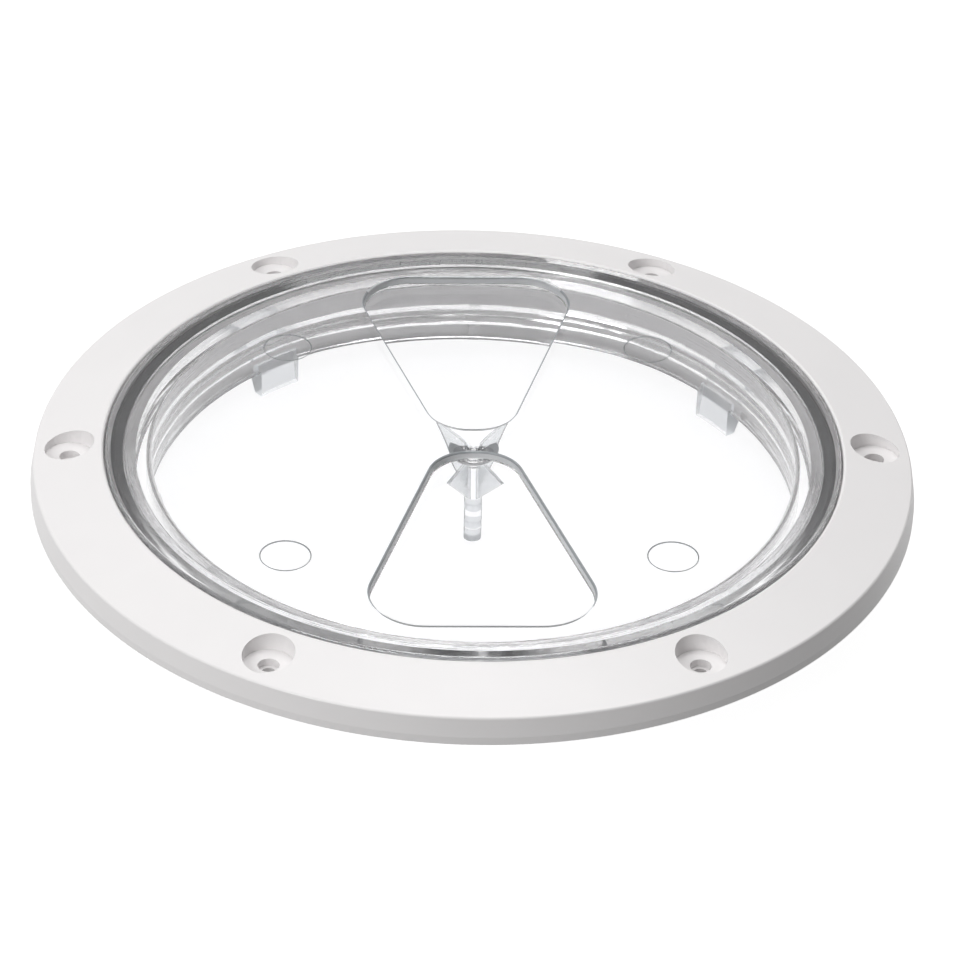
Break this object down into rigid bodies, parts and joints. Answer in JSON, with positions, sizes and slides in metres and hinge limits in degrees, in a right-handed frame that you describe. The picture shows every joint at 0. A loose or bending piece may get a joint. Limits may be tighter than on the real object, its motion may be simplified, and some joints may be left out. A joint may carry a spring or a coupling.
{
  "type": "deck inspection plate",
  "caption": "Round flanged deck ring with a short barrel, closed by a clear bayonet lid with finger pockets and a rubber seal; the lid turns to unlock.",
  "frame": {"origin": "centre of the deck face, the flat underside of the flange that lies on the deck", "axes": "+Z points out of the deck, along the barrel's axis; +X runs through the middle of a screw hole; the grip's two finger pockets lie along +Y and -Y when the lid is locked"},
  "size_m": [0.2068, 0.2068, 0.0291],
  "materials": {
    "white_abs": "moulded white plastic with a fine satin surface",
    "clear_plastic": "clear polished plastic",
    "black_rubber": "matt black rubber"
  },
  "bodies": {
    "ring": {"frame_ring": "white_abs"},
    "cover": {"lid": "clear_plastic", "seal_ring": "black_rubber"}
  },
  "joints": [
    {"name": "lid_turn", "type": "hinge", "parent": "ring", "child": "cover", "pos_m": [0, 0, 0], "axis": [0, 0, 1], "range_deg": [0, 45]}
  ]
}
